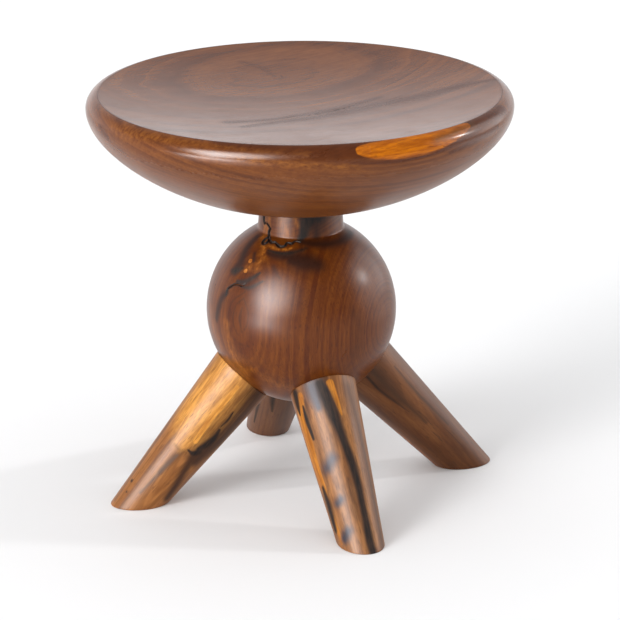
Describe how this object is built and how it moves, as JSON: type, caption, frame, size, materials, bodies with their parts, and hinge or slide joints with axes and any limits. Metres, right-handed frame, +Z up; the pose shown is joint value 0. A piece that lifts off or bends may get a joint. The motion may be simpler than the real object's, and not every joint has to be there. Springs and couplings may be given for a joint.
{
  "type": "stool",
  "caption": "Low turned hardwood stool: a shallow dished round seat on a short neck and ball, carried by splayed tapered legs.",
  "frame": {"origin": "on the floor, on the stool's vertical axis under the middle of the seat", "axes": "+Z up the stool's axis; -Y is the front, and each leg points roughly along a diagonal between X and Y"},
  "size_m": [0.4319, 0.432, 0.43],
  "materials": {
    "seat_wood": "oiled and polished, satin, streaked brown heartwood with orange sapwood patches",
    "ball_wood": "oiled and polished, satin, dark brown burl with a surface check",
    "leg_wood": "oiled and polished, satin, orange and near-black stripes",
    "dowel_wood": "bare, planed"
  },
  "bodies": {
    "root": {"seat": "seat_wood", "ball_and_neck": "ball_wood", "dowel_seat": "dowel_wood", "leg_front_left": "leg_wood", "leg_front_right": "leg_wood", "leg_back_right": "leg_wood", "leg_back_left": "leg_wood", "dowel_leg_front_left": "dowel_wood", "dowel_leg_front_right": "dowel_wood", "dowel_leg_back_right": "dowel_wood", "dowel_leg_back_left": "dowel_wood"}
  },
  "joints": []
}
